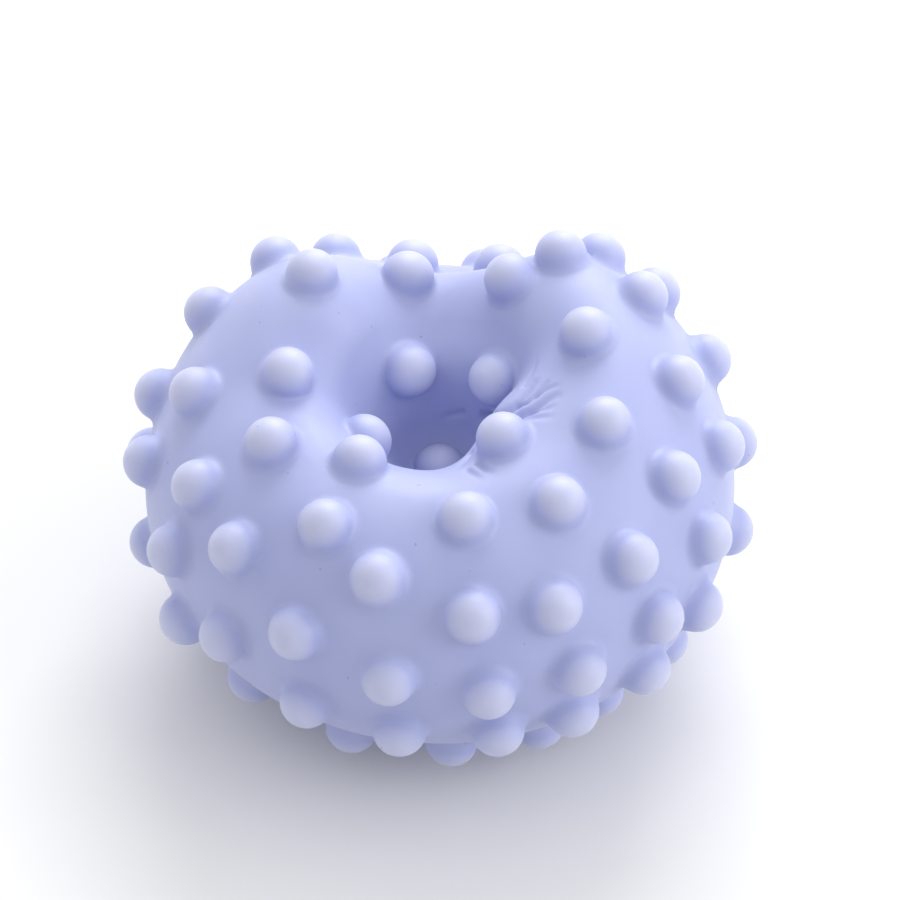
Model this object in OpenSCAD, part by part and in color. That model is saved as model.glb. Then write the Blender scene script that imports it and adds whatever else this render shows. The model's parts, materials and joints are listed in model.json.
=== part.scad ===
// Hollow sensory ball of soft vinyl with round nubs, standing on its feet and pressed in at the top.
// +Z is up, the origin is under the middle of the ball on the surface that it stands on, and -Y is the front.

/* [Ball] */
// Diameter of the shell at its widest ring, without the nubs
belly_d = 55; // [50:0.5:60]
// Height of the widest ring above the bottom of the shell
belly_h = 18; // [17:0.2:20]
// Radius of the section below the widest ring
lower_bulge_r = 15.5; // [13:0.5:16]
// Thickness of the soft wall
wall = 2; // [1.6:0.1:2.4]

/* [Dent] */
// Diameter of the rim's crest
crest_d = 30; // [27:0.5:32]
// Height of the crest above the widest ring, where the press leaves it alone
crest_h = 17; // [15:0.5:19]
// Depth that the press draws the crest down by, as a unit of its shares
crest_drop = 4; // [2:0.25:4.5]
// Radius of the rolled-in rim
rim_r = 7; // [6:0.5:8]
// Height of the dent's floor above the widest ring
floor_h = 1; // [-1:0.5:3]
// Radius of the dent's rounded floor
floor_r = 5; // [4.5:0.25:6]
// Clearance between the crown and the wall of the dent round it
crown_gap = 0.2; // [0.1:0.05:0.4]

/* [Nubs] */
// Diameter of a nub where it leaves the shell
nub_d = 5.2; // [4.4:0.1:6]
// Height of a nub over the shell
nub_h = 2.7; // [2.2:0.1:3]
// Depth that a nub's root goes into the wall
nub_root = 1; // [0.6:0.1:1.4]
// Least distance between a nub's edge and the edge of its zone of the shell
nub_margin = 0.2; // [0.1:0.1:0.5]
// Least distance between the middles of two nubs on the far side
nub_apart = 7.4; // [7:0.2:9]
// Number of nubs in the ring that the ball stands on
foot_count = 7; // [5:1:8]
// Diameter of that ring
foot_ring_d = 22; // [20:0.5:26]
// Length along the shell from its bottom to the ring of nubs outside the feet
under_l = 21.5; // [20:0.5:24]
// Depth of the flat on each of the feet
foot_flat = 0.45; // [0.3:0.05:0.6]

/* [Squeaker] */
// Outer diameter of the squeaker's barrel
barrel_d = 9; // [8:0.5:10]
// Thickness of the barrel's wall
barrel_wall = 0.8; // [0.6:0.1:1]
// Length of the barrel inside its flange
barrel_l = 11; // [9:0.5:13]
// Diameter of the flange that lies flush in the shell
flange_d = 12.5; // [12:0.25:13]
// Thickness of the flange
flange_t = 1; // [0.8:0.1:1.2]
// Diameter of the thicker collar of the shell round the barrel
collar_d = 15; // [14:0.5:16]
// Height of the collar above the flange
collar_h = 2; // [1.6:0.1:2.6]
// Height of the ridge that snaps in behind the collar
ridge_h = 0.5; // [0.3:0.1:0.7]
// Length of that ridge along the barrel
ridge_l = 1; // [0.6:0.1:1.4]
// Diameter of the hole that the sound comes out of
sound_hole_d = 2.4; // [1.6:0.2:3]
// Clearance round each piece that is pushed into another
push_gap = 0.05; // [0.02:0.01:0.1]
// Length of the bed that the reed lies on
bed_l = 8; // [7:0.5:9]
// Width of the air channel under the reed
channel_w = 2.4; // [1.8:0.2:3]
// Depth of the air channel
channel_h = 1.8; // [1.4:0.2:2.2]
// Width of the reed
reed_w = 3.4; // [3.2:0.1:4]
// Thickness of the reed
reed_t = 0.25; // [0.2:0.05:0.3]
// Length of the reed that is free to sound
reed_free_l = 5; // [4:0.5:5.5]
// Clearance between the reed's free end and the sound hole's plate
reed_tip_gap = 0.3; // [0.2:0.1:0.6]

/* [Photograph] */
// Pixel of the middle of the widest ring, from the left
middle_px_x = 440; // [400:1:480]
// Pixel of the middle of the widest ring, from the top
middle_px_y = 480; // [440:1:520]
// Radius of the widest ring in pixels
belly_px = 294; // [250:1:340]
// Angle of the view above the surface that the ball stands on
view_angle = 45; // [35:1:55]
// Distance of the view from the middle of the widest ring
view_distance = 380; // [300:10:600]

/* [Hidden] */
$fn = 72;

vinyl = [0.70, 0.72, 0.90];
plastic = [0.93, 0.93, 0.90];
film = [0.85, 0.80, 0.66];

// Extra length of every cut past the face that it opens
overrun = 1;

// Shares of the drop of the crest, at turns from the front towards +X
crest_turns = [0, 45, 90, 122, 150, 172, 192, 222, 245, 275, 315];
crest_drop_shares = [0.92, 0.6, 0, -0.3, -0.05, 1.1, 1.1, -0.05, -0.05, 0.75, 0.95];

// Middles of the nubs that show, in pixels from the left and the top of the photograph
shown_nub_px = [
  [407, 279], [512, 281], [562, 250], [640, 299], [587, 335], [703, 361], [676, 383],
  [604, 425], [716, 447], [672, 478], [558, 504], [466, 520], [504, 441], [497, 379], [408, 370],
  [630, 559], [703, 537], [554, 606], [472, 616], [378, 580], [326, 527], [237, 549], [176, 550],
  [297, 632], [228, 634], [188, 617], [655, 616], [694, 604], [389, 677], [488, 690], [578, 667],
  [308, 699], [249, 684], [642, 666], [571, 708], [497, 727], [400, 727], [152, 462], [312, 277],
  [200, 487]
];

// Middles of the nubs that show from behind the edge of the shell
rear_nub_px = [[602, 254], [658, 289], [729, 443], [725, 529], [158, 541], [277, 264]];

// Turns of the nubs whose tips show below the edge of the shell
under_turns = [-23, 3, 26, 45];

// Section of the ball: heights are above the widest ring, and each arc is tangent to the next
belly_r = belly_d / 2;
crest_r = crest_d / 2;
lower_x = belly_r - lower_bulge_r;
base_r = (lower_x ^ 2 + belly_h ^ 2 - lower_bulge_r ^ 2) / (2 * (belly_h - lower_bulge_r));
base_turn = atan(lower_x / (base_r - belly_h));
rim_z = crest_h - rim_r;
shoulder_w = belly_r - crest_r;
upper_bulge_r = (shoulder_w ^ 2 + rim_z ^ 2 - rim_r ^ 2) / (2 * (shoulder_w - rim_r));
upper_x = belly_r - upper_bulge_r;
upper_turn = atan2(rim_z, crest_r - upper_x);
floor_z = floor_h + floor_r;
dent_slope = atan2(rim_z - floor_z, crest_r) + asin((rim_r + floor_r) / norm([crest_r, rim_z - floor_z]));

// Arcs of the section from the bottom to the rim: middle, radius, first angle, last angle, side of the outside
base_arc = [[0, base_r - belly_h], base_r, -90, base_turn - 90, 1];
lower_arc = [[lower_x, 0], lower_bulge_r, base_turn - 90, 0, 1];
upper_arc = [[upper_x, 0], upper_bulge_r, 0, upper_turn, 1];
rim_arc = [[crest_r, rim_z], rim_r, upper_turn, 90 + dent_slope, 1];
floor_arc = [[0, floor_z], floor_r, dent_slope - 90, -90, -1];

function ray(angle) = [cos(angle), sin(angle)];
function arc_point(arc, angle) = arc[0] + arc[1] * ray(angle);
function arc_stretch(radius, turn) = abs(radius * turn) * PI / 180;
function arc_length(arc) = arc_stretch(arc[1], arc[3] - arc[2]);

rim_end = arc_point(rim_arc, rim_arc[3]);
floor_end = arc_point(floor_arc, floor_arc[2]);
dent_normal = ray(90 + dent_slope);

// Lengths along the section, from the bottom to the middle of the dent
lower_start = arc_length(base_arc);
upper_start = lower_start + arc_length(lower_arc);
rim_start = upper_start + arc_length(upper_arc);
dent_start = rim_start + arc_length(rim_arc);
crown_start = dent_start + norm(floor_end - rim_end);
section_l = crown_start + arc_length(floor_arc);

function arc_spot(arc, share) =
  let (angle = arc[2] + (arc[3] - arc[2]) * share)
  [arc_point(arc, angle), arc[4] * ray(angle)];

// Point of the outside and its normal at a length along the section
function section_spot(l) =
  l < lower_start ? arc_spot(base_arc, l / lower_start)
  : l < upper_start ? arc_spot(lower_arc, (l - lower_start) / (upper_start - lower_start))
  : l < rim_start ? arc_spot(upper_arc, (l - upper_start) / (rim_start - upper_start))
  : l < dent_start ? arc_spot(rim_arc, (l - rim_start) / (dent_start - rim_start))
  : l < crown_start ? [rim_end + (floor_end - rim_end) * (l - dent_start) / (crown_start - dent_start), dent_normal]
  : arc_spot(floor_arc, (l - crown_start) / (section_l - crown_start));

// The press draws the rim down, most at the crest, and leaves the widest ring and the edge of the dent alone
crest_l = rim_start + arc_stretch(rim_r, 90 - upper_turn);

function eased(share) = (1 - cos(180 * share)) / 2;
function whole_turn(turn) = turn - 360 * floor(turn / 360);
function drop_at(turn) =
  let (around = whole_turn(turn))
  let (i = max([for (k = [0 : len(crest_turns) - 1]) if (crest_turns[k] <= around) k]))
  let (next = (i + 1) % len(crest_turns))
  let (share = (around - crest_turns[i]) / whole_turn(crest_turns[next] - crest_turns[i]))
  crest_drop * (crest_drop_shares[i] + (crest_drop_shares[next] - crest_drop_shares[i]) * eased(share));
function sunk(l, turn) =
  let (z = section_spot(l)[0].y)
  l < upper_start || l > dent_start ? 0
  : drop_at(turn) * (l < crest_l ? z / crest_h : (z - rim_end.y) / (crest_h - rim_end.y));

// Point of the pressed ball at a depth under its outside, from the middle of the widest ring
function ball_point(l, turn, depth = 0) =
  let (spot = section_spot(l))
  let (inside = spot[0] - depth * spot[1])
  [inside.x * sin(turn), -inside.x * cos(turn), inside.y - sunk(l, turn)];

// Normal of the pressed ball, from two short steps along it
step_share = 0.001;
function ball_normal(l, turn) =
  let (up = ball_point(l + step_share * wall, turn) - ball_point(l - step_share * wall, turn))
  let (around = ball_point(l, turn + step_share) - ball_point(l, turn - step_share))
  let (normal = cross(around, up))
  normal / norm(normal);

// A nub is a dome of a sphere that may stand a little proud of the shell
nub_r = nub_d / 2;
nub_ball_r = (nub_r ^ 2 + nub_h ^ 2) / (2 * nub_h);
nub_lift = nub_h - nub_ball_r;

// The ring of feet lies on the shallow underside or, where that ends short of it, on the bulge round it.
// It gives the height of the widest ring.
foot_ring_r = foot_ring_d / 2;
foot_l = foot_ring_r < base_r * sin(base_turn)
  ? arc_stretch(base_r, asin(foot_ring_r / base_r))
  : lower_start + arc_stretch(lower_bulge_r, 90 - base_turn - acos((foot_ring_r - lower_x) / lower_bulge_r));
foot_spot = section_spot(foot_l);
foot_tip_z = foot_spot[0].y + nub_lift * foot_spot[1].y - nub_ball_r;
stand_h = -foot_tip_z - foot_flat;

// A nub's place is its length along the section and its turn from the front towards +X.
// The nubs that show are found where the view through their pixel first meets the ball.
section_steps = 160;
section_samples = [for (i = [0 : section_steps]) section_spot(section_l * i / section_steps)[0]];

function sample(i) =
  let (first = section_samples[floor(i)])
  first + (section_samples[ceil(i)] - first) * (i - floor(i));

// Step at which a stretch of the section comes as near the axis as the view passes it
function fold_step(i, reach) =
  i + (reach - section_samples[i].x) / (section_samples[i + 1].x - section_samples[i].x);

// The stretch of one step that the view can meet, as its first and last step
function met_steps(i, reach) =
  let (first_in = section_samples[i].x >= reach)
  let (last_in = section_samples[i + 1].x >= reach)
  [first_in ? i : fold_step(i, reach), last_in ? i + 1 : fold_step(i, reach)];

function side_y(spot, side, seen) = side * sqrt(max(0, spot.x ^ 2 - seen.x ^ 2));
function view_miss(spot, side, seen) =
  spot.y * cos(view_angle) + side_y(spot, side, seen) * sin(view_angle) - seen.y;
function view_depth(spot, side, seen) =
  side_y(spot, side, seen) * cos(view_angle) - spot.y * sin(view_angle);

function view_hit(step, side, seen) =
  let (spot = sample(step))
  [view_depth(spot, side, seen), section_l * step / section_steps, atan2(seen.x, -side_y(spot, side, seen))];

function view_hits(seen) = [
  for (side = [-1, 1])
    for (i = [0 : section_steps - 1])
      if (max(section_samples[i].x, section_samples[i + 1].x) > abs(seen.x))
        let (steps = met_steps(i, abs(seen.x)))
        let (first = view_miss(sample(steps[0]), side, seen))
        let (last = view_miss(sample(steps[1]), side, seen))
        if (first * last <= 0 && first != last)
          view_hit(steps[0] + (steps[1] - steps[0]) * first / (first - last), side, seen)
];

// Where the view passes just outside the ball, the nearest point of its outline
function view_passes(seen) = [
  for (side = [-1, 1])
    for (i = [0 : section_steps])
      let (outside = max(0, abs(seen.x) - section_samples[i].x))
      [norm([outside, view_miss(section_samples[i], side, seen)]), each view_hit(i, side, seen)]
];

function least(rows) =
  let (best = min([for (row = rows) row[0]]))
  [for (row = rows) if (row[0] == best) row][0];
function most(rows) =
  let (best = max([for (row = rows) row[0]]))
  [for (row = rows) if (row[0] == best) row][0];

function seen_hit(seen, behind) =
  let (hits = view_hits(seen))
  len(hits) == 0 ? [for (i = [1 : 3]) least(view_passes(seen))[i]]
  : behind ? most(hits)
  : least(hits);

function seen_at(px, depth) =
  [px.x - middle_px_x, middle_px_y - px.y] * belly_r / belly_px * (1 + depth / view_distance);

function place_point(place) = ball_point(place[0], place[1]);

// Pixel at which a point shows
function point_px(point) =
  let (depth = point.y * cos(view_angle) - point.z * sin(view_angle))
  let (up = point.y * sin(view_angle) + point.z * cos(view_angle))
  [middle_px_x, middle_px_y] + [point.x, -up] * belly_px / belly_r / (1 + depth / view_distance);

// The aim moves until the place on the pressed ball shows at the pixel
aim_tries = 3;
function shown_place(px, behind, aim, tries = aim_tries) =
  let (first = seen_hit(seen_at(aim, 0), behind))
  let (hit = seen_hit(seen_at(aim, first[0]), behind))
  let (place = [hit[1], hit[2]])
  tries == 0 ? place : shown_place(px, behind, aim + px - point_px(place_point(place)), tries - 1);

// The far side repeats the nubs that show, turned half a turn, and an even spiral fills what is left
function add_places(places, more, apart, i = 0) =
  i == len(more) ? places
  : let (near = min([for (place = places) norm(place_point(place) - place_point(more[i]))]))
    add_places(near < apart ? places : concat(places, [more[i]]), more, apart, i + 1);

spiral_count = 420;
spiral_turn = 137.508;
shown_places = [
  for (px = shown_nub_px) shown_place(px, false, px),
  for (px = rear_nub_px) shown_place(px, true, px)
];
foot_places = [for (i = [0 : foot_count - 1]) [foot_l, 360 * i / foot_count]];
under_places = [for (turn = under_turns) [under_l, turn]];
turned_places = [for (place = concat(shown_places, under_places)) [place[0], place[1] + 180]];
spiral_places = [
  for (i = [0 : spiral_count - 1])
    let (l = section_l * acos(1 - (2 * i + 1) / spiral_count) / 180)
    if (l > foot_l && l < dent_start) [l, spiral_turn * i]
];
crown_place = [section_l, 0];
nub_places = add_places(
  add_places(concat([crown_place], shown_places, under_places, foot_places), turned_places, nub_apart),
  spiral_places, nub_apart);

// Each zone of the shell carries the nubs whose middles it holds, drawn in from its edges
nub_reach = nub_r + nub_margin;
function zone_places(from, to) = [
  for (place = nub_places)
    if (place[0] >= from && place[0] < to)
      [max(from + nub_reach, min(to - nub_reach, place[0])), place[1]]
];
shell_places = zone_places(0, dent_start);
dent_places = zone_places(dent_start, crown_start);

// The squeaker stands on the axis, with its flange flush in the bottom of the shell
barrel_r = barrel_d / 2;
flange_r = flange_d / 2;
bore_r = barrel_r - barrel_wall;
flange_z = stand_h - belly_h + base_r * (1 - sqrt(1 - (flange_r / base_r) ^ 2));
barrel_z = flange_z + flange_t;
collar_z = barrel_z + collar_h;
ridge_z = collar_z + push_gap;
bed_r = bore_r - push_gap;
clamp_l = bed_l - reed_free_l;

module nub() {
  rotate_extrude()
    intersection() {
      translate([0, nub_lift]) circle(nub_ball_r);
      translate([0, -nub_root]) square([nub_ball_r + overrun, nub_root + nub_h + overrun]);
    }
}

module nubs(places) {
  for (place = places) {
    normal = ball_normal(place[0], place[1]);
    translate(place_point(place))
      rotate([0, acos(normal.z), atan2(normal.y, normal.x)])
        nub();
  }
}

// Points of an arc of the section, drawn in by the given depth
arc_step = 7;
function arc_points(arc, depth) =
  let (steps = ceil(abs(arc[3] - arc[2]) / arc_step))
  [for (i = [0 : steps]) let (spot = arc_spot(arc, i / steps)) spot[0] - depth * spot[1]];

// Points of the section from the bottom to the widest ring
function lower_points(depth) =
  let (bulge = arc_points(lower_arc, depth))
  [each arc_points(base_arc, depth), for (i = [1 : len(bulge) - 1]) bulge[i]];
function backwards(list) = [for (i = [len(list) - 1 : -1 : 0]) list[i]];

// The pressed half above the widest ring is a loft round the axis, whose skirt is sunk in the half below
loft_rows = 16;
loft_columns = 60;
skirt_h = wall / 2;
skirt_gap = wall / 20;
loft_l = [for (i = [0 : loft_rows]) upper_start + (dent_start - upper_start) * i / loft_rows];

function skirt_point(turn, depth) = ball_point(upper_start, turn, depth) - [0, 0, skirt_h];
function loft_loop(turn) = [
  skirt_point(turn, skirt_gap),
  ball_point(loft_l[0], turn, skirt_gap),
  for (i = [1 : loft_rows]) ball_point(loft_l[i], turn),
  for (i = [loft_rows : -1 : 1]) ball_point(loft_l[i], turn, wall),
  ball_point(loft_l[0], turn, wall - skirt_gap),
  skirt_point(turn, wall - skirt_gap)
];

module pressed_half() {
  loops = [for (i = [0 : loft_columns - 1]) loft_loop(360 * i / loft_columns)];
  count = len(loops[0]);
  polyhedron(
    points = [for (loop = loops) each loop],
    faces = [
      for (i = [0 : loft_columns - 1])
        for (j = [0 : count - 1])
          let (here = i * count)
          let (next = (i + 1) % loft_columns * count)
          let (k = (j + 1) % count)
          each [[here + j, here + k, next + k], [here + j, next + k, next + j]]
    ]);
}

// The outer shell from the bottom to the rolled-in rim, with its nubs, feet and squeaker seat
module ball_shell() {
  color(vinyl)
    difference() {
      union() {
        translate([0, 0, stand_h]) {
          rotate_extrude() polygon(concat(lower_points(0), backwards(lower_points(wall))));
          pressed_half();
          nubs(shell_places);
        }
        translate([0, 0, barrel_z]) cylinder(h = collar_h, d = collar_d);
      }
      translate([0, 0, -belly_d]) cylinder(h = belly_d, d = 2 * belly_d);
      cylinder(h = barrel_z, r = flange_r + push_gap);
      cylinder(h = collar_z + overrun, r = barrel_r + push_gap);
    }
}

// The sloping wall of the dent, which follows the crown when the ball springs back
module dent_wall() {
  inward = wall * dent_normal;
  color(vinyl)
    translate([0, 0, stand_h]) {
      rotate_extrude() polygon([rim_end, floor_end, floor_end - inward, rim_end - inward]);
      nubs(dent_places);
    }
}

// The crown of the ball, pressed in to the floor of the dent
module crown() {
  reach = 2 * (floor_r + wall);
  edge = floor_arc[2] - crown_gap / floor_r * 180 / PI;
  color(vinyl)
    translate([0, 0, stand_h]) {
      rotate_extrude()
        translate(floor_arc[0])
          intersection() {
            difference() {
              circle(floor_r + wall);
              circle(floor_r);
            }
            polygon([[0, 0], reach * ray(edge), [reach, -reach], [0, -reach]]);
          }
      translate([0, 0, floor_h]) nub();
    }
}

// The barrel that is pushed through the bottom of the shell, closed by a plate with the sound hole
module squeaker_housing() {
  color(plastic)
    difference() {
      union() {
        translate([0, 0, flange_z]) cylinder(h = flange_t, r = flange_r);
        translate([0, 0, flange_z]) cylinder(h = flange_t + barrel_l, r = barrel_r);
        translate([0, 0, ridge_z]) cylinder(h = ridge_l, r1 = barrel_r + ridge_h, r2 = barrel_r);
      }
      translate([0, 0, barrel_z]) cylinder(h = barrel_l + overrun, r = bore_r);
      translate([0, 0, flange_z - overrun]) cylinder(h = flange_t + 2 * overrun, d = sound_hole_d);
    }
}

// The half-round bed inside the barrel, with the air channel that the reed closes
module reed_bed() {
  color(plastic)
    translate([0, 0, barrel_z])
      difference() {
        cylinder(h = bed_l, r = bed_r);
        translate([0, -bore_r, -overrun]) cube([bore_r, 2 * bore_r, bed_l + 2 * overrun]);
        translate([-channel_h, -channel_w / 2, -overrun])
          cube([channel_h + overrun, channel_w, bed_l - clamp_l + overrun]);
      }
}

// The thin strip that sounds, clamped at its inner end
module reed() {
  color(film)
    translate([0, -reed_w / 2, barrel_z + reed_tip_gap])
      cube([reed_t, reed_w, bed_l - reed_tip_gap]);
}

// The half-round wedge that clamps the reed on its bed
module reed_wedge() {
  color(plastic)
    translate([0, 0, barrel_z + bed_l - clamp_l])
      intersection() {
        cylinder(h = clamp_l, r = bed_r);
        translate([reed_t, -bore_r, 0]) cube([bore_r, 2 * bore_r, clamp_l]);
      }
}

ball_shell();
dent_wall();
crown();
squeaker_housing();
reed_bed();
reed();
reed_wedge();
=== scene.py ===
"""Sensory ball of soft vinyl with round nubs, pressed in at the top: its looks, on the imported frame."""

import json
import math

import bpy
import numpy as np
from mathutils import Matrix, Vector
from mathutils.bvhtree import BVHTree


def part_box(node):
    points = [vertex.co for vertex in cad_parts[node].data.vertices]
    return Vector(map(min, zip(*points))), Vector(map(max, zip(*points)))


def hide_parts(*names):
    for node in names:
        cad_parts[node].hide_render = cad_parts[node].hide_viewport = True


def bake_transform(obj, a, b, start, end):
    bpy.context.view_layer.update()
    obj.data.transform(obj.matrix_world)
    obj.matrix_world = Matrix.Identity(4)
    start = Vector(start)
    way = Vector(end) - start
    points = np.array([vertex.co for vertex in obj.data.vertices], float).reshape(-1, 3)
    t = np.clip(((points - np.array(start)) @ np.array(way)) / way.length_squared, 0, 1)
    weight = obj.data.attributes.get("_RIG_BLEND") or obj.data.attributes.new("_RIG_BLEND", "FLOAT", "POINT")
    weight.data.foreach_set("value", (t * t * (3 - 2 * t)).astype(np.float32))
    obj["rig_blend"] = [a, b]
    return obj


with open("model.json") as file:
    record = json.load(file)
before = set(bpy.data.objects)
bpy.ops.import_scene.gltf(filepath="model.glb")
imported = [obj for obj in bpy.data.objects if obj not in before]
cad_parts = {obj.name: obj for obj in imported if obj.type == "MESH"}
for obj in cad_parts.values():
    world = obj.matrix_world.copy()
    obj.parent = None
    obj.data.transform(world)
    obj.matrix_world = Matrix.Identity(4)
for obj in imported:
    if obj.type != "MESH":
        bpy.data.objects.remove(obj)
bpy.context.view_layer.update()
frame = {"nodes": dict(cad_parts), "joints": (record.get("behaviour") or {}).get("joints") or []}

# Sizes are in millimetres, turns and angles in degrees. Meshes are made in metres.
MM = 0.001

# Section of the pressed shell
BELLY_R = 27.5
BELLY_H = 18.0
LOWER_BULGE_R = 15.5
WALL = 2.0
CREST_R = 15.0
RIM_R = 7.0
FLOOR_H = 1.0
FLOOR_R = 5.0

# Height of the rim's crest above the widest ring, by its turn from the front towards the right.
# The heights are evened out over the softness, at turns a step apart.
CREST_TURNS = (0, 45, 90, 120, 136, 150, 162, 180, 196, 212, 225, 245, 275, 315)
CREST_HEIGHTS = (13.3, 14.6, 17.0, 18.2, 18.3, 17.5, 16.2, 15.2, 15.3, 16.3, 17.4, 17.3, 14.0, 13.2)
CREST_SOFTNESS = 7.0
CREST_STEP = 0.5

# A second press on the back of the rim, the slope under it that bulges into the dent, and the lip that
# both presses pinch. Middles are taken from the middle of the widest ring, and each reach goes along the
# three axes.
BACK_PRESS_MIDDLE = (2.0, 20.5, 11.5)
BACK_PRESS_REACH = (11.0, 9.0, 9.0)
BACK_PRESS_DEPTH = 5.2
SLOPE_MIDDLE = (1.0, 6.5, 8.5)
SLOPE_REACH = (10.0, 5.0, 5.0)
SLOPE_SHIFT = (0.0, -1.8, 1.6)
PINCH_MIDDLE = (7.0, -5.2, 12.0)
PINCH_REACH = (5.5, 5.5, 5.5)
PINCH_SHIFT = (-2.3, 2.4, 0.3)

# Folds that run out from the pinch: depth and half width, then the points along each, in pixels
FOLDS = (
    (0.9, 0.60, ((484, 419), (494, 417), (505, 411), (514, 405),
                 (519, 400), (524, 394), (532, 384), (537, 376))),
    (0.5, 0.35, ((516, 403), (526, 401), (532, 397), (541, 388), (546, 383), (551, 379))),
    (0.7, 0.45, ((513, 416), (524, 412), (531, 409), (541, 403), (547, 399), (553, 396), (563, 393))),
    (0.3, 0.28, ((536, 395), (545, 389), (553, 386), (562, 384))),
    (0.3, 0.28, ((530, 411), (540, 409), (550, 407), (556, 404))),
    (0.25, 0.30, ((520, 418), (536, 417), (555, 416))),
    (0.25, 0.25, ((524, 385), (531, 375), (535, 366), (537, 358))),
    (0.4, 0.35, ((478, 462), (486, 469), (494, 472))),
    (0.3, 0.30, ((468, 470), (475, 474), (481, 479))),
    (0.3, 0.30, ((463, 413), (452, 415), (442, 417))),
    (0.4, 0.40, ((470, 452), (464, 460), (459, 468))),
)
# Half widths past the ends of a fold's line within which its depth is worked out
FOLD_REACH = 4

# Seat of the squeaker
SEAT_GAP = 0.05
FLANGE_T = 1.0
BARREL_R = 4.5
COLLAR_R = 7.5
COLLAR_H = 2.0

# Nubs: a dome on a soft fillet
NUB_DOME_R = 2.5
NUB_H = 2.7
NUB_FILLET_R = 0.55
# The ring of nubs that the ball stands on, and the nubs outside it, at a length along the underside
FOOT_COUNT = 7
FOOT_RING_R = 11.0
UNDER_L = 21.5
UNDER_TURNS = (-23, 3, 26, 45)
# The far side's nubs: the least distance between their middles, and the spiral that fills what is left
NUB_APART = 7.4
SPIRAL_COUNT = 3100
SPIRAL_TURN = 137.508
# Share of a nub's axis that leads away from the view, over which the nub is one of the far side's
REAR_SHARE = 0.25

# The release to the round ball. A leaning nub is flattened by a share of its height. Outside a reach the
# release sets in over a rise above the widest ring, and a step further in it sets in at once. Reach and
# step are shares of the belly's radius.
NUB_FLATTENING = 0.5
RELEASE_RISE = 9.0
RELEASE_REACH = 0.8
RELEASE_REACH_STEP = 0.15

# The photograph's view, in pixels of its frame
FRAME_PX = 900
MIDDLE_PX = (440, 480)
BELLY_PX = 294
VIEW_ANGLE = 45
VIEW_DISTANCE = 380.0
VIEW_CLIP = 10.0

# Middles of the nubs that show, in pixels from the left and the top
SHOWN_NUB_PX = (
    (407, 279), (512, 281), (561, 258), (640, 299), (587, 335), (703, 361), (676, 383),
    (604, 425), (716, 447), (672, 478), (558, 504), (466, 520), (504, 441), (497, 379), (408, 370),
    (630, 559), (703, 537), (554, 606), (472, 616), (378, 580), (326, 527), (237, 549), (176, 550),
    (297, 632), (228, 634), (188, 617), (655, 616), (694, 604), (389, 677), (488, 690), (578, 667),
    (308, 699), (249, 684), (642, 666), (571, 708), (497, 727), (400, 727), (152, 462), (312, 277),
    (200, 487),
)
# Middles of the nubs that show from behind the edge of the shell
REAR_NUB_PX = ((602, 252), (658, 289), (729, 443), (725, 529), (158, 541), (277, 264))

# Boxes of the front that the photograph doesn't show
UNSHOWN_PX = (((110, 290), (400, 470)), ((300, 150), (545, 262)))

# Steps of the skin's grid, and the rows of the outside to each row of the inside
COARSENESS = 1
ROUND_STEPS = 448 // COARSENESS
LOWER_STEPS = 104 // COARSENESS
UPPER_STEPS = 220 // COARSENESS
INNER_STRIDE = 4
# Shares of the upper section that shares of its steps reach, closer together where the folds lie
FINE_STEPS = (0.0, 0.28, 0.88, 1.0)
FINE_SHARES = (0.0, 0.45, 0.85, 1.0)
# Least distance that is divided by
LEAST_DISTANCE = 0.001
# Angle over which an edge of the skin is sharp
SHARP_ANGLE = 60

# The half below the widest ring: a shallow underside, whose turn is in radians, that runs into the bulge
LOWER_X = BELLY_R - LOWER_BULGE_R
BASE_R = (LOWER_X**2 + BELLY_H**2 - LOWER_BULGE_R**2) / (2 * (BELLY_H - LOWER_BULGE_R))
BASE_TURN = math.atan2(LOWER_X, BASE_R - BELLY_H)
BASE_L = BASE_R * BASE_TURN
BULGE_L = LOWER_BULGE_R * (math.pi / 2 - BASE_TURN)

# Sizes that the frame gives. Its one joint is the slide of the crown.
housing_low, housing_high = (np.array(corner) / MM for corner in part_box("squeaker_housing"))
FLANGE_R = (housing_high[0] - housing_low[0]) / 2
RING_Z = housing_low[2] + BELLY_H - BASE_R + math.sqrt(BASE_R**2 - FLANGE_R**2)
PRESS_TRAVEL = frame["joints"][0]["range_m"][1] / MM
TOP_H = FLOOR_H + PRESS_TRAVEL

upward = np.array([0.0, 0.0, 1.0])
ring_middle = RING_Z * upward
floor_middle = (RING_Z + FLOOR_H) * upward


# Section of the shell


def crest_height(turn):
    """Height of the crest at each turn, eased between the named heights."""
    dense = np.arange(0, 360, CREST_STEP)
    heights = np.interp(dense, CREST_TURNS, CREST_HEIGHTS, period=360)
    away = np.minimum(dense, 360 - dense)
    kernel = np.exp(-((away / CREST_SOFTNESS) ** 2))
    eased = np.fft.irfft(np.fft.rfft(heights) * np.fft.rfft(kernel / kernel.sum()), len(dense))
    return np.interp(turn, dense, eased, period=360)


def along_arc(middle, radius, first, last, share):
    """Points at a share of an arc, whose angles are in radians."""
    angle = first + (last - first) * share
    return np.stack([middle[0] + radius * np.cos(angle), middle[1] + radius * np.sin(angle)], -1)


def lower_section(length):
    """Radius and height at a length from the bottom, up to the widest ring."""
    base_last = BASE_TURN - math.pi / 2
    base = along_arc((0.0, BASE_R - BELLY_H), BASE_R, -math.pi / 2, base_last, length / BASE_L)
    bulge = along_arc((LOWER_X, 0.0), LOWER_BULGE_R, base_last, 0.0, (length - BASE_L) / BULGE_L)
    return np.where((length < BASE_L)[..., None], base, bulge)


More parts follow.
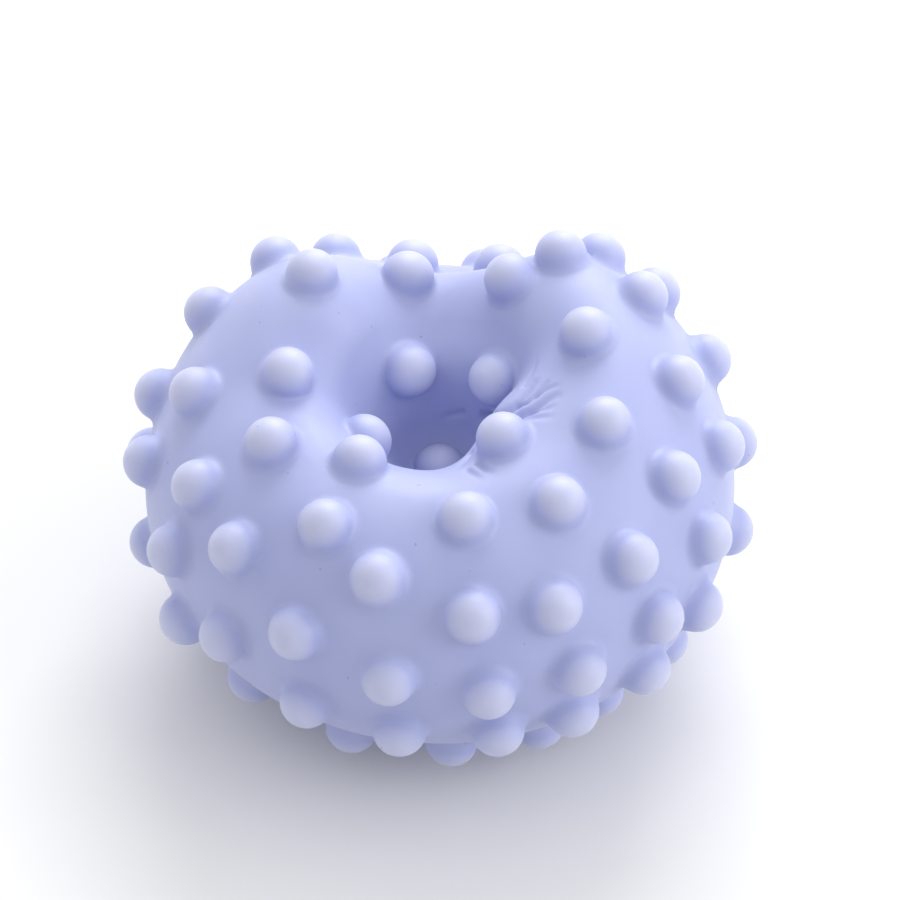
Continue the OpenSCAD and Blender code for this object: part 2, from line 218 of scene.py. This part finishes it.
def upper_section(share, crest_h):
    """Radius and height at a share of the way from the widest ring to the middle of the dent."""
    rim_z = crest_h - RIM_R
    shoulder_w = BELLY_R - CREST_R
    upper_r = (shoulder_w**2 + rim_z**2 - RIM_R**2) / (2 * (shoulder_w - RIM_R))
    upper_x = BELLY_R - upper_r
    upper_turn = np.arctan2(rim_z, CREST_R - upper_x)
    floor_z = FLOOR_H + FLOOR_R
    fall = np.arctan2(rim_z - floor_z, CREST_R)
    slope = fall + np.arcsin((RIM_R + FLOOR_R) / np.hypot(CREST_R, rim_z - floor_z))
    rim_last = math.pi / 2 + slope
    floor_first = slope - math.pi / 2
    rim_end = along_arc((CREST_R, rim_z), RIM_R, rim_last, rim_last, 0.0)
    floor_end = along_arc((0.0, floor_z), FLOOR_R, floor_first, floor_first, 0.0)
    lengths = [
        upper_r * upper_turn,
        RIM_R * (rim_last - upper_turn),
        np.linalg.norm(floor_end - rim_end, axis=-1),
        FLOOR_R * slope,
    ]
    ends = np.cumsum(lengths, axis=0)
    length = share * ends[-1]
    upper = along_arc((upper_x, 0.0), upper_r, 0.0, upper_turn, length / lengths[0])
    rim = along_arc((CREST_R, rim_z), RIM_R, upper_turn, rim_last, (length - ends[0]) / lengths[1])
    wall = rim_end + (floor_end - rim_end) * ((length - ends[1]) / lengths[2])[..., None]
    floor_share = (length - ends[2]) / lengths[3]
    floor = along_arc((0.0, floor_z), FLOOR_R, floor_first, -math.pi / 2, floor_share)
    bands = [(length < end)[..., None] for end in ends[:3]]
    return np.select(bands, [upper, rim, wall], floor)


def placed(rows, turn):
    """Points in space of rows of radius and height, at each turn."""
    around = np.radians(turn)
    x = rows[..., 0] * np.sin(around)
    y = -rows[..., 0] * np.cos(around)
    return np.stack([x, y, rows[..., 1] + RING_Z + np.zeros_like(x)], -1)


def round_turns():
    """Turn of each column of the skin's grid."""
    return np.arange(ROUND_STEPS) * 360 / ROUND_STEPS


def shell_grid():
    """Rows of the shell pressed in all round, from the squeaker's seat to just short of the dent's middle."""
    seat_l = BASE_R * math.asin((FLANGE_R + SEAT_GAP) / BASE_R)
    lower_l = np.linspace(seat_l, BASE_L + BULGE_L, LOWER_STEPS, endpoint=False)
    lower = np.repeat(lower_section(lower_l)[:, None], ROUND_STEPS, axis=1)
    step = np.linspace(0, 1, UPPER_STEPS, endpoint=False)[:, None]
    share = np.interp(step, FINE_STEPS, FINE_SHARES)
    share, crest_h = np.broadcast_arrays(share, crest_height(round_turns())[None, :])
    return placed(np.concatenate([lower, upper_section(share, crest_h)]), round_turns())


def grid_normals(grid):
    """Outward normal at each point of a grid whose columns go round the axis."""
    up = np.gradient(grid, axis=0)
    around = np.roll(grid, -1, axis=1) - np.roll(grid, 1, axis=1)
    normal = np.cross(around, up)
    return normal / np.linalg.norm(normal, axis=-1, keepdims=True)


def grid_faces(rows, columns):
    """Quads between the rows of a grid that closes on itself round the axis."""
    row, column = np.meshgrid(np.arange(rows - 1), np.arange(columns), indexing="ij")
    after = (column + 1) % columns
    corners = [row * columns + column, row * columns + after]
    corners += [(row + 1) * columns + after, (row + 1) * columns + column]
    return np.stack(corners, -1).reshape(-1, 4)


# The photograph's view


PX_PER_MM = BELLY_PX / BELLY_R
LENS_PX = VIEW_DISTANCE * PX_PER_MM
view_ahead = np.array([0.0, math.cos(math.radians(VIEW_ANGLE)), -math.sin(math.radians(VIEW_ANGLE))])
view_right = np.array([1.0, 0.0, 0.0])
view_up = np.cross(view_right, view_ahead)
aim_right = (FRAME_PX / 2 - MIDDLE_PX[0]) / PX_PER_MM
aim_up = (MIDDLE_PX[1] - FRAME_PX / 2) / PX_PER_MM
view_from = ring_middle - VIEW_DISTANCE * view_ahead + aim_right * view_right + aim_up * view_up


def view_ray(px):
    """Direction of the view through a pixel."""
    across, down = px[0] - FRAME_PX / 2, px[1] - FRAME_PX / 2
    ray = LENS_PX * view_ahead + across * view_right - down * view_up
    return ray / np.linalg.norm(ray)


def view_px(point):
    """Pixel at which a point shows."""
    away = point - view_from
    depth = away @ view_ahead
    across = away @ view_right / depth * LENS_PX
    up = away @ view_up / depth * LENS_PX
    return np.array([FRAME_PX / 2 + across, FRAME_PX / 2 - up])


def add_object(name, data):
    """A new object in the scene."""
    made = bpy.data.objects.new(name, data)
    bpy.context.scene.collection.objects.link(made)
    return made


def add_camera():
    """The camera that sees the ball as the photograph does."""
    camera = add_object("camera", bpy.data.cameras.new("camera"))
    camera.location = Vector(view_from * MM)
    camera.rotation_euler = (math.radians(90 - VIEW_ANGLE), 0.0, 0.0)
    camera.data.angle = 2 * math.atan(FRAME_PX / 2 / LENS_PX)
    camera.data.clip_start = VIEW_CLIP * MM
    bpy.context.scene.camera = camera


# Places of the nubs


class Surface:
    """The shell without its nubs, to find points on it and the normals there."""

    def __init__(self, grid):
        rows, columns = grid.shape[:2]
        self.tree = BVHTree.FromPolygons(grid.reshape(-1, 3).tolist(), grid_faces(rows, columns).tolist())

    def nearest(self, point):
        """The shell's nearest point, and the normal there."""
        foot, normal = self.tree.find_nearest(Vector(point))[:2]
        return np.array(foot), np.array(normal)

    def seen(self, px, behind=False):
        """Where the view through a pixel first meets the shell, or last, if it is seen from behind."""
        ray = Vector(view_ray(px))
        start = Vector(view_from)
        if behind:
            foot, normal = self.tree.ray_cast(start + ray * 2 * VIEW_DISTANCE, -ray)[:2]
        else:
            foot, normal = self.tree.ray_cast(start, ray)[:2]
        if foot is None:
            return self.nearest(start + ray * VIEW_DISTANCE)
        return np.array(foot), np.array(normal)


def unshown(nub):
    """Whether a nub lies where the photograph doesn't show the ball."""
    foot, axis = nub
    px = view_px(foot + NUB_H * axis)
    boxed = [low[0] < px[0] < high[0] and low[1] < px[1] < high[1] for low, high in UNSHOWN_PX]
    return any(boxed) or axis @ view_ahead > REAR_SHARE


def turned(point, degrees):
    """A point turned about the upright axis."""
    angle = math.radians(degrees)
    cos, sin = math.cos(angle), math.sin(angle)
    return np.array([cos * point[0] - sin * point[1], sin * point[0] + cos * point[1], point[2]])


def add_apart(nubs, more):
    """Adds each nub of the far side that keeps its distance from all before it."""
    for foot, axis in more:
        apart = min(np.linalg.norm(foot - other) for other, _ in nubs)
        if apart >= NUB_APART and unshown((foot, axis)):
            nubs.append((foot, axis))


def ring_nubs(surface, length, turns):
    """Nubs at a length along the underside, at each turn."""
    spot = lower_section(np.array([length]))
    return [surface.nearest(placed(spot, np.array([turn]))[0]) for turn in turns]


def spiral_nubs(grid):
    """Nubs along a spiral over the shell, outside the ring of feet."""
    normals = grid_normals(grid)
    rows, columns = grid.shape[:2]
    nubs = []
    for i in range(SPIRAL_COUNT):
        row = int(rows * (i + 0.5) / SPIRAL_COUNT)
        column = int(columns * (SPIRAL_TURN * i / 360 % 1))
        foot = grid[row, column]
        if math.hypot(foot[0], foot[1]) > FOOT_RING_R:
            nubs.append((foot, normals[row, column]))
    return nubs


def nub_places(grid, surface):
    """Feet and axes of all nubs: those that show, the ring underneath, and an even cover of the far side."""
    shown = [surface.seen(px) for px in SHOWN_NUB_PX]
    shown += [surface.seen(px, behind=True) for px in REAR_NUB_PX]
    shown += ring_nubs(surface, UNDER_L, UNDER_TURNS)
    foot_l = BASE_R * math.asin(FOOT_RING_R / BASE_R)
    feet = ring_nubs(surface, foot_l, [360 * i / FOOT_COUNT for i in range(FOOT_COUNT)])
    nubs = [(floor_middle, upward)] + shown + feet
    add_apart(nubs, [surface.nearest(turned(foot, 180)) for foot, _ in shown])
    add_apart(nubs, spiral_nubs(grid))
    return nubs


# Skin


def nub_profile(share):
    """Reach and height of a nub's outline at a share of its length, from its top to its edge on the shell."""
    middle_h = NUB_H - NUB_DOME_R
    outer_r = math.sqrt((NUB_DOME_R + NUB_FILLET_R) ** 2 - (NUB_FILLET_R - middle_h) ** 2)
    lean = math.asin((NUB_FILLET_R - middle_h) / (NUB_DOME_R + NUB_FILLET_R))
    dome_l = NUB_DOME_R * (math.pi / 2 - lean)
    fillet_l = NUB_FILLET_R * (math.pi / 2 - lean)
    length = share * (dome_l + fillet_l)
    dome = along_arc((0.0, middle_h), NUB_DOME_R, math.pi / 2, lean, length / dome_l)
    fillet_share = (length - dome_l) / fillet_l
    fillet = along_arc((outer_r, NUB_FILLET_R), NUB_FILLET_R, math.pi + lean, 1.5 * math.pi, fillet_share)
    return np.where((length < dome_l)[..., None], dome, fillet)


NUB_OUTER_R = nub_profile(np.array([1.0]))[0, 0]


def closeness(grid, middle, reach):
    """A share for each point that falls from one at the middle, by its distance in units of the reach."""
    away = (grid - ring_middle - middle) / reach
    return np.exp(-(away**2).sum(axis=-1, keepdims=True))


def pressed_grid():
    """The shell without its nubs and folds, with the second press on its back and the pinched lip."""
    grid = shell_grid()
    press = BACK_PRESS_DEPTH * closeness(grid, BACK_PRESS_MIDDLE, BACK_PRESS_REACH)
    grid = grid - press * grid_normals(grid)
    grid = grid + closeness(grid, SLOPE_MIDDLE, SLOPE_REACH) * SLOPE_SHIFT
    return grid + closeness(grid, PINCH_MIDDLE, PINCH_REACH) * PINCH_SHIFT


def fold_line(surface, corners):
    """Points on the shell along a line of pixels, a pixel apart."""
    corners = np.array(corners, float)
    steps = np.append(0, np.cumsum(np.linalg.norm(np.diff(corners, axis=0), axis=1)))
    along = np.arange(0, steps[-1])
    line = np.stack([np.interp(along, steps, corners[:, i]) for i in range(2)], -1)
    return np.array([surface.seen(px)[0] for px in line])


def fold(grid, surface):
    """The shell with its folds, each deepest at its first end."""
    depth = np.zeros(grid.shape[:2])
    for deepest, half_w, corners in FOLDS:
        line = fold_line(surface, corners)
        reach = np.ptp(line, axis=0).sum() + FOLD_REACH * half_w
        near = np.linalg.norm(grid - line.mean(axis=0), axis=-1) < reach
        away = np.linalg.norm(grid[near][:, None] - line[None], axis=-1)
        share = away.argmin(axis=1) / len(line)
        depth[near] += deepest * (1 - share**2) * np.exp(-((away.min(axis=1) / half_w) ** 2))
    return grid - depth[..., None] * grid_normals(grid)


def add_nubs(grid, nubs):
    """Draws the points round each nub's foot up into its dome. Gives the points, their feet on the shell,
    their heights over it and how far each nub leans from upright."""
    feet = grid.reshape(-1, 3).copy()
    points = feet.copy()
    height = np.zeros(len(points))
    lean = np.zeros(len(points))
    nearest = np.full(len(points), NUB_OUTER_R)
    for foot, axis in nubs:
        away = grid.reshape(-1, 3) - foot
        distance = np.linalg.norm(away, axis=1)
        near = np.flatnonzero(distance < nearest)
        nearest[near] = distance[near]
        away, distance = away[near], distance[near, None]
        outline = nub_profile(distance[:, 0] / NUB_OUTER_R)
        bend = (away @ axis)[:, None] * axis
        flat = (away - bend) * outline[:, :1] / np.maximum(distance, LEAST_DISTANCE)
        feet[near] = foot + flat + bend
        points[near] = foot + flat + bend * (distance / NUB_OUTER_R) ** 2 + outline[:, 1:] * axis
        height[near] = outline[:, 1]
        lean[near] = 1 - axis[2]
    shape = grid.shape[:2]
    return points.reshape(grid.shape), feet.reshape(grid.shape), height.reshape(shape), lean.reshape(shape)


def release_shares(feet, height, lean):
    """Share of the crown's travel that brings each point up to the round ball.
    It sets in softly above the widest ring, and a nub that leans lies flatter on the ball."""
    reach = np.minimum(np.hypot(feet[..., 0], feet[..., 1]) / BELLY_R, 1)
    above = feet[..., 2] - RING_Z
    share = np.clip((TOP_H * np.sqrt(1 - reach**2) - above) / PRESS_TRAVEL, 0, 1)
    share = np.clip(share - NUB_FLATTENING * share * height * lean / PRESS_TRAVEL, 0, 1)
    inward = np.clip((RELEASE_REACH - reach) / RELEASE_REACH_STEP, 0, 1)
    onset = np.clip(above / RELEASE_RISE + inward, 0, 1)
    return np.where(above > 0, share * onset**2 * (3 - 2 * onset), 0)


def inner_rows(base):
    """Rows of the inside, from the dent to the collar of the seat, and their shares of the release."""
    inside = (base - WALL * grid_normals(base))[::-INNER_STRIDE]
    share = release_shares(base, 0.0, 0.0)[::-INNER_STRIDE]
    past_collar = np.hypot(inside[:, 0, 0], inside[:, 0, 1]) > COLLAR_R
    kept = past_collar | (inside[:, 0, 2] > RING_Z)
    return inside[kept], share[kept]


def seat_grid():
    """Rings of the squeaker's seat, from the collar inside the ball to the flange's recess."""
    flange_top = housing_low[2] + FLANGE_T
    collar_top = flange_top + COLLAR_H
    bore_r = BARREL_R + SEAT_GAP
    rings = [(COLLAR_R, collar_top), (bore_r, collar_top), (bore_r, flange_top)]
    rings.append((FLANGE_R + SEAT_GAP, flange_top))
    return np.stack([placed(np.array([[r, z - RING_Z]]), round_turns()) for r, z in rings])


def closed_mesh(name, grid, first_pole, last_pole):
    """A mesh of a grid that closes on itself round the axis, with a pole at each end."""
    rows, columns = grid.shape[:2]
    points = np.concatenate([grid.reshape(-1, 3), [first_pole, last_pole]]) * MM
    column = np.arange(columns)
    after = (column + 1) % columns
    last_row = (rows - 1) * columns
    first_fan = np.stack([np.full(columns, rows * columns), after, column], -1)
    last_fan = np.stack([np.full(columns, rows * columns + 1), last_row + column, last_row + after], -1)
    faces = grid_faces(rows, columns).tolist() + first_fan.tolist() + last_fan.tolist()
    mesh = bpy.data.meshes.new(name)
    mesh.from_pydata(points.tolist(), [], faces)
    mesh.shade_smooth()
    mesh.set_sharp_from_angle(angle=math.radians(SHARP_ANGLE))
    return add_object(name, mesh)


def set_values(piece, name, rows, poles):
    """Stores one number per point of a closed mesh: those of its rows, and then of its two poles."""
    values = np.append(np.concatenate(rows).ravel(), poles)
    attribute = piece.data.attributes.get(name) or piece.data.attributes.new(name, "FLOAT", "POINT")
    attribute.data.foreach_set("value", values.astype(np.float32))


def make_skin():
    """The whole moulding: its outside with the nubs, its inside, and the seat of the squeaker."""
    base = pressed_grid()
    surface = Surface(base)
    outside, feet, height, lean = add_nubs(fold(base, surface), nub_places(base, surface))
    outside[..., 2] = np.maximum(outside[..., 2], 0)
    inside, inside_share = inner_rows(base)
    seat = seat_grid()
    seat_share = np.zeros(seat.shape[:2])

    wall_top = floor_middle - WALL * upward
    nub_top = floor_middle + NUB_H * upward
    skin = closed_mesh("ball_skin", np.concatenate([inside, seat, outside]), wall_top, nub_top)
    # Heights on the nubs drive the paler tips: partly their own paler vinyl, partly painted light and
    # highlight on the tips
    set_values(skin, "nub_top", [np.zeros_like(inside_share), seat_share, height / NUB_H], [0.0, 1.0])
    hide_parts("ball_shell", "dent_wall", "crown")
    start, end = floor_middle + PRESS_TRAVEL * upward, floor_middle
    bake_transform(skin, "root", "crown_body", start=tuple(start * MM), end=tuple(end * MM))
    outside_share = release_shares(feet, height, lean)
    set_values(skin, "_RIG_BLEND", [inside_share, seat_share, outside_share], [1.0, 1.0])
    return skin


# Materials


VINYL = (0.393, 0.43, 0.70)
VINYL_DEEP = (0.373, 0.41, 0.69)
# Paler, whiter colour of the nub tops: partly their own paler vinyl, partly painted light and highlight that
# the tips catch
VINYL_PALE_AND_TIP_LIGHT = (0.505, 0.53, 0.735)
SPECK = (0.16, 0.18, 0.36)
PLASTIC = (0.82, 0.82, 0.77)
PLASTIC_DEEP = (0.76, 0.76, 0.71)
FILM = (0.68, 0.58, 0.38)
FILM_DEEP = (0.58, 0.47, 0.28)

# Noises: the size of their bumps and their detail
VINYL_CLOUDS = (9.0, 3.0)
VINYL_SPECKS = (0.6, 0.0)
VINYL_POLISH = (1.4, 4.0)
VINYL_GRAIN = (0.25, 2.0)
MOULDED_CLOUDS = (2.5, 3.0)
MOULDED_POLISH = (0.6, 3.0)
MOULDED_GRAIN = (0.18, 2.0)

# Spans of a noise, or of the height on a nub, and the shares and the roughness that they are carried to
CLOUD_SPAN = (0.35, 0.65)
POLISH_SPAN = (0.3, 0.7)
SPECK_SPAN = (0.86, 0.88)
# The height span on a nub over which the painted tip light and paler vinyl set in
PALE_AND_TIP_LIGHT_SPAN = (0.35, 0.9)
WHOLE_SHARE = (0.0, 1.0)
SPECK_SHARE = (0.0, 0.5)
VINYL_ROUGHNESS = (0.44, 0.54)
PLASTIC_ROUGHNESS = (0.36, 0.48)
FILM_ROUGHNESS = (0.24, 0.36)

# Depth and strength of the grain
VINYL_BUMP = (0.02, 0.25)
MOULDED_BUMP = (0.01, 0.3)

# Light that spreads under the vinyl's surface: its share, how far it goes, and how that differs by colour
SPREAD_SHARE = 0.2
SPREAD_REACH = 1.6
SPREAD_BY_COLOUR = (1.0, 0.9, 1.2)
VINYL_GLOSS = 0.5
VINYL_SHEEN = 0.15
SHEEN_ROUGHNESS = 0.5

# Sockets of a Mix node that mixes colours: its share, its two colours and its result
MIX_SHARE = 0
MIX_FIRST = 6
MIX_SECOND = 7
MIX_RESULT = 2


def opaque(colour):
    """A colour that nothing shows through."""
    return (*colour, 1.0)


class Nodes:
    """Short way to build the nodes of a material or a world."""

    def __init__(self, owner):
        owner.use_nodes = True
        self.tree = owner.node_tree

    def node(self, kind, **values):
        """A new node, with values for its sockets or, where no socket has the name, for the node itself."""
        made = self.tree.nodes.new(kind)
        for name, value in values.items():
            if name in made.inputs.keys():
                made.inputs[name].default_value = value
            else:
                setattr(made, name, value)
        return made

    def link(self, source, target):
        """Joins an output to an input."""
        self.tree.links.new(source, target)

    def mapped(self, source, span, target):
        """A number carried from a span to a target span."""
        made = self.node("ShaderNodeMapRange")
        for name, value in zip(("From Min", "From Max", "To Min", "To Max"), (*span, *target)):
            made.inputs[name].default_value = value
        self.link(source, made.inputs["Value"])
        return made.outputs["Result"]


class Shader(Nodes):
    """A material with one principled shader."""

    def __init__(self, name):
        self.material = bpy.data.materials.new(name)
        super().__init__(self.material)
        self.principled = self.tree.nodes["Principled BSDF"]

    def set(self, **values):
        """Sets sockets of the shader, whose names have an underline for each space."""
        for name, value in values.items():
            self.principled.inputs[name.replace("_", " ")].default_value = value

    def feed(self, name, source):
        """Joins an output to a socket of the shader."""
        self.link(source, self.principled.inputs[name])

    def noise(self, size, detail):
        """Noise whose bumps are about a size in millimetres."""
        place = self.node("ShaderNodeTexCoord").outputs["Object"]
        made = self.node("ShaderNodeTexNoise", Scale=1 / (size * MM), Detail=detail)
        self.link(place, made.inputs["Vector"])
        return made.outputs["Fac"]

    def mixed(self, share, first, second):
        """A colour between two, each a colour or a socket."""
        made = self.node("ShaderNodeMix", data_type="RGBA")
        self.link(share, made.inputs[MIX_SHARE])
        for socket, value in ((made.inputs[MIX_FIRST], first), (made.inputs[MIX_SECOND], second)):
            if isinstance(value, tuple):
                socket.default_value = opaque(value)
            else:
                self.link(value, socket)
        return made.outputs[MIX_RESULT]

    def bump(self, source, depth, strength):
        """Grain of a depth in millimetres."""
        made = self.node("ShaderNodeBump", Strength=strength, Distance=depth * MM)
        self.link(source, made.inputs["Height"])
        self.feed("Normal", made.outputs["Normal"])


def vinyl_material():
    """Soft vinyl with faint clouds and specks, paler and whiter towards the tops of the nubs: partly their
    own paler vinyl, partly painted light and highlight that the tips catch.
    """
    shader = Shader("vinyl")
    clouds = shader.mapped(shader.noise(*VINYL_CLOUDS), CLOUD_SPAN, WHOLE_SHARE)
    top = shader.node("ShaderNodeAttribute", attribute_name="nub_top").outputs["Fac"]
    # Share of the paler tip colour: partly own paler vinyl, partly painted light and highlight on the nub
    # tops
    pale = shader.mapped(top, PALE_AND_TIP_LIGHT_SPAN, WHOLE_SHARE)
    specks = shader.mapped(shader.noise(*VINYL_SPECKS), SPECK_SPAN, SPECK_SHARE)
    body = shader.mixed(clouds, VINYL, VINYL_DEEP)
    body = shader.mixed(pale, body, VINYL_PALE_AND_TIP_LIGHT)
    body = shader.mixed(specks, body, SPECK)
    shader.feed("Base Color", body)
    shader.feed("Roughness", shader.mapped(shader.noise(*VINYL_POLISH), POLISH_SPAN, VINYL_ROUGHNESS))
    shader.set(Subsurface_Weight=SPREAD_SHARE, Subsurface_Radius=SPREAD_BY_COLOUR)
    shader.set(Subsurface_Scale=SPREAD_REACH * MM, Specular_IOR_Level=VINYL_GLOSS)
    shader.set(Sheen_Weight=VINYL_SHEEN, Sheen_Roughness=SHEEN_ROUGHNESS)
    shader.bump(shader.noise(*VINYL_GRAIN), *VINYL_BUMP)
    return shader.material


def moulded_material(name, colour, deep, roughness):
    """Hard plastic, a little cloudy and grained."""
    shader = Shader(name)
    clouds = shader.mapped(shader.noise(*MOULDED_CLOUDS), CLOUD_SPAN, WHOLE_SHARE)
    shader.feed("Base Color", shader.mixed(clouds, colour, deep))
    shader.feed("Roughness", shader.mapped(shader.noise(*MOULDED_POLISH), POLISH_SPAN, roughness))
    shader.bump(shader.noise(*MOULDED_GRAIN), *MOULDED_BUMP)
    return shader.material


def dress(piece, material):
    """Gives a piece one material all over."""
    piece.data.materials.clear()
    piece.data.materials.append(material)


def dress_squeaker():
    """Gives the squeaker's solids their materials."""
    plastic = moulded_material("squeaker_plastic", PLASTIC, PLASTIC_DEEP, PLASTIC_ROUGHNESS)
    film = moulded_material("reed_film", FILM, FILM_DEEP, FILM_ROUGHNESS)
    for name in ("squeaker_housing", "reed_bed", "reed_wedge"):
        dress(frame["nodes"][name], plastic)
    dress(frame["nodes"]["reed"], film)


# Floor and light, in metres and watts


FLOOR_SIZE = 4.0
FLOOR_COLOUR = (0.82, 0.82, 0.825)
FLOOR_ROUGHNESS = 0.9
FLOOR_GLOSS = 0.1

# The world's light: the side it comes from, its strength opposite that side and there, and the strength at
# which the world itself shows
BRIGHT_SIDE = (-0.2, 0.25, 0.9)
WORLD_LIGHT = (0.0, 1.04)
SEEN_WORLD = 0.95
WHITE = (1.0, 1.0, 1.0)
# Products of two directions that are opposite and the same
SIDE_SPAN = (-1.0, 1.0)

# Place, size and power of each lamp
LAMPS = {
    "key": ((0.10, 0.62, 0.50), 0.5, 4.6),
    "side": ((0.70, -0.15, 0.35), 0.6, 2.9),
}


def add_floor():
    """The pale surface that the ball stands on."""
    half = FLOOR_SIZE / 2
    mesh = bpy.data.meshes.new("floor")
    corners = [(-half, -half, 0.0), (half, -half, 0.0), (half, half, 0.0), (-half, half, 0.0)]
    mesh.from_pydata(corners, [], [(0, 1, 2, 3)])
    floor = add_object("floor", mesh)
    shader = Shader("floor")
    shader.set(Base_Color=opaque(FLOOR_COLOUR), Roughness=FLOOR_ROUGHNESS, Specular_IOR_Level=FLOOR_GLOSS)
    dress(floor, shader.material)


def add_lamp(name, place, size, power):
    """A soft square lamp that faces the ball."""
    lamp = add_object(name, bpy.data.lights.new(name, "AREA"))
    lamp.location = place
    aim = Vector(ring_middle * MM) - Vector(place)
    lamp.rotation_euler = aim.to_track_quat("-Z", "Y").to_euler()
    lamp.data.size = size
    lamp.data.energy = power


def add_world():
    """A pale world whose light grows towards its bright side, and which shows as one even tone."""
    world = bpy.data.worlds.new("world")
    nodes = Nodes(world)
    side = nodes.node("ShaderNodeVectorMath", operation="DOT_PRODUCT")
    side.inputs[1].default_value = Vector(BRIGHT_SIDE).normalized()
    nodes.link(nodes.node("ShaderNodeTexCoord").outputs["Generated"], side.inputs[0])
    light = nodes.mapped(side.outputs["Value"], SIDE_SPAN, WORLD_LIGHT)
    path = nodes.node("ShaderNodeLightPath")
    direct = path.outputs["Is Camera Ray"]
    for name in ("Is Glossy Ray", "Is Transmission Ray"):
        either = nodes.node("ShaderNodeMath", operation="MAXIMUM")
        nodes.link(direct, either.inputs[0])
        nodes.link(path.outputs[name], either.inputs[1])
        direct = either.outputs["Value"]
    strength = nodes.node("ShaderNodeMix", B=SEEN_WORLD)
    nodes.link(direct, strength.inputs["Factor"])
    nodes.link(light, strength.inputs["A"])
    background = nodes.tree.nodes["Background"]
    background.inputs["Color"].default_value = opaque(WHITE)
    nodes.link(strength.outputs["Result"], background.inputs["Strength"])
    bpy.context.scene.world = world


add_camera()
skin = make_skin()
dress(skin, vinyl_material())
dress_squeaker()
add_floor()
add_world()
for lamp_name, lamp_values in LAMPS.items():
    add_lamp(lamp_name, *lamp_values)
bpy.context.scene.view_settings.view_transform = "Standard"
